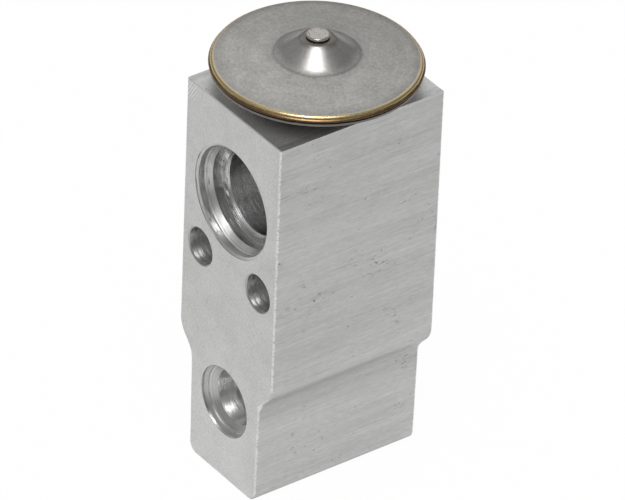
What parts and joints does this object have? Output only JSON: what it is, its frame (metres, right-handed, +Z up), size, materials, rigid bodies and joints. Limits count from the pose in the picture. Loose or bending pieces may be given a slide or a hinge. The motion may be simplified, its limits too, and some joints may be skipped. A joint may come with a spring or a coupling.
{
  "type": "thermal expansion valve",
  "caption": "Block-type refrigerant expansion valve: aluminium block with stepped pipe ports, clamp bolt holes, diaphragm power head and ball valve inside.",
  "frame": {"origin": "centre of the block's bottom face, on the valve's own axis", "axes": "+Z up along the valve axis towards the power head, -Y out of the face with the liquid inlet, +X towards the side face on the right of the picture"},
  "size_m": [0.0382, 0.0382, 0.0886],
  "materials": {
    "valve_body": "satin, sawn and machined",
    "head_cover": "matte, pickled",
    "filler_plug": "polished",
    "rim_weld": "heat tinted",
    "diaphragm": "bright rolled",
    "head_base": "satin",
    "head_seal": "matt black",
    "stop_plate": "turned",
    "sensing_rod": "turned",
    "rod_seal": "matt black",
    "seal_retainer": "spring steel",
    "push_rod": "ground",
    "valve_ball": "polished",
    "ball_carrier": "turned",
    "damping_spring": "spring steel",
    "valve_spring": "spring wire",
    "adjusting_screw": "turned",
    "screw_seal": "matt black"
  },
  "bodies": {
    "block": {"valve_body": "valve_body", "head_cover": "head_cover", "filler_plug": "filler_plug", "rim_weld": "rim_weld", "diaphragm": "diaphragm", "head_base": "head_base", "head_seal": "head_seal", "rod_seal": "rod_seal", "seal_retainer": "seal_retainer", "valve_spring": "valve_spring"},
    "plunger": {"stop_plate": "stop_plate", "sensing_rod": "sensing_rod", "push_rod": "push_rod", "valve_ball": "valve_ball", "ball_carrier": "ball_carrier", "damping_spring": "damping_spring"},
    "screw_ring": {"screw_seal": "screw_seal"},
    "screw": {"adjusting_screw": "adjusting_screw"}
  },
  "joints": [
    {"name": "rod_slide", "type": "slide", "parent": "block", "child": "plunger", "axis": [0, 0, -1], "range_m": [0, 0.0008], "stiffness_N_per_m": 2500, "springref_m": -0.002, "deforming": ["valve_spring", "diaphragm"]},
    {"name": "screw_travel", "type": "slide", "parent": "block", "child": "screw_ring", "axis": [0, 0, 1], "range_m": [-0.001, 0.001], "deforming": ["valve_spring"]},
    {"name": "screw_turn", "type": "hinge", "parent": "screw_ring", "child": "screw", "pos_m": [0, 0, 0.0043], "axis": [0, 0, 1], "range_deg": [-360, 360]}
  ],
  "couplings": [
    {"joint": "screw_turn", "follows": "screw_travel", "rad_per_m": 6283.2}
  ]
}
